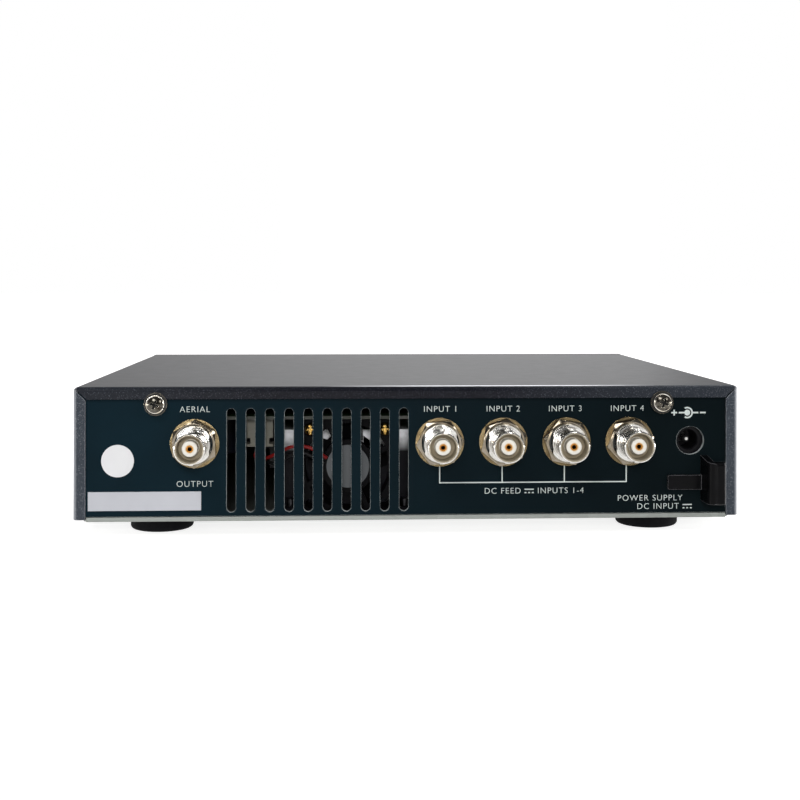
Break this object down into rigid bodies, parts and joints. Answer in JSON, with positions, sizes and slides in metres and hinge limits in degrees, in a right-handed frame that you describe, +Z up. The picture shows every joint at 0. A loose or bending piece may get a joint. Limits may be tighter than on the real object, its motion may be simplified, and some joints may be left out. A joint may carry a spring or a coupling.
{
  "type": "antenna combiner",
  "caption": "Low metal box with a folded cover: bayonet antenna jacks, DC inlet, cable hook and fan slots on the rear panel, power button on the front, rubber feet below.",
  "frame": {"origin": "under the middle of the whole outline, in the plane of the feet's undersides", "axes": "+Z up, +X to the right when facing the connector panel, +Y from the connector panel to the front"},
  "size_m": [0.2168, 0.1852, 0.0478],
  "materials": {
    "cover_paint": "fine textured charcoal paint",
    "panel_paint": "semi-gloss dark teal paint",
    "galvanised": "bare galvanised sheet",
    "front_paint": "satin black paint",
    "rubber": "matte black rubber",
    "nickel": "warm nickel plate",
    "zinc": "zinc plate",
    "black_zinc": "black plate",
    "insulator": "white fluoropolymer",
    "gilt": "gold plate",
    "inlet_plastic": "moulded black",
    "hook_plastic": "satin moulded black",
    "fan_plastic": "moulded black",
    "winding": "enamelled copper over laminations",
    "magnet": "bonded ferrite",
    "bronze": "sintered bronze",
    "polished_steel": "ground",
    "aluminium": "bright extruded",
    "plug_plastic": "natural moulded",
    "lead_red": "red insulation",
    "lead_black": "black insulation",
    "package": "epoxy package",
    "board": "green solder mask",
    "can": "tinned steel",
    "sleeve": "dark blue sleeve",
    "button_plastic": "satin moulded",
    "switch_plastic": "moulded black",
    "lamp": "tinted clear"
  },
  "bodies": {
    "case": {"base_pan": "galvanised", "rear_panel": "panel_paint", "front_panel": "front_paint", "top_cover": "cover_paint", "foot_screws": "zinc", "cover_screws": "nickel", "cover_washers": "nickel", "cover_spring_washers": "nickel", "side_screws": "black_zinc", "pan_screws": "zinc", "jack_nuts": "nickel", "jack_lock_washers": "nickel", "dc_inlet_body": "inlet_plastic", "dc_inlet_pin": "nickel", "dc_inlet_terminals": "zinc", "cable_hook": "hook_plastic", "fan_frame": "fan_plastic", "fan_stator": "winding", "fan_bearing": "bronze", "fan_screws": "gilt", "fan_bracket": "aluminium", "fan_header": "plug_plastic", "fan_plug": "plug_plastic", "fan_lead_red": "lead_red", "fan_lead_black": "lead_black", "heat_sink": "aluminium", "regulators": "package", "main_board": "board", "board_standoffs": "bronze", "board_screws": "zinc", "filter_cans": "can", "capacitors": "sleeve", "power_switch": "switch_plastic", "power_led": "lamp", "led_holder": "switch_plastic", "foot_rear_left": "rubber", "foot_rear_right": "rubber", "foot_front_left": "rubber", "foot_front_right": "rubber", "out_jack_shell": "nickel", "out_jack_insulator": "insulator", "out_jack_contact": "gilt", "in_1_jack_shell": "nickel", "in_1_jack_insulator": "insulator", "in_1_jack_contact": "gilt", "in_2_jack_shell": "nickel", "in_2_jack_insulator": "insulator", "in_2_jack_contact": "gilt", "in_3_jack_shell": "nickel", "in_3_jack_insulator": "insulator", "in_3_jack_contact": "gilt", "in_4_jack_shell": "nickel", "in_4_jack_insulator": "insulator", "in_4_jack_contact": "gilt"},
    "fan": {"fan_rotor": "fan_plastic", "fan_magnet": "magnet", "fan_shaft": "polished_steel"},
    "button": {"power_button": "button_plastic", "switch_plunger": "plug_plastic"}
  },
  "joints": [
    {"name": "fan_spin", "type": "hinge", "parent": "case", "child": "fan", "pos_m": [-0.0197, -0.0736, 0.0216], "axis": [0, 1, 0], "continuous": true},
    {"name": "power_press", "type": "slide", "parent": "case", "child": "button", "axis": [0, -1, 0], "range_m": [0, 0.0024], "stiffness_N_per_m": 400}
  ]
}
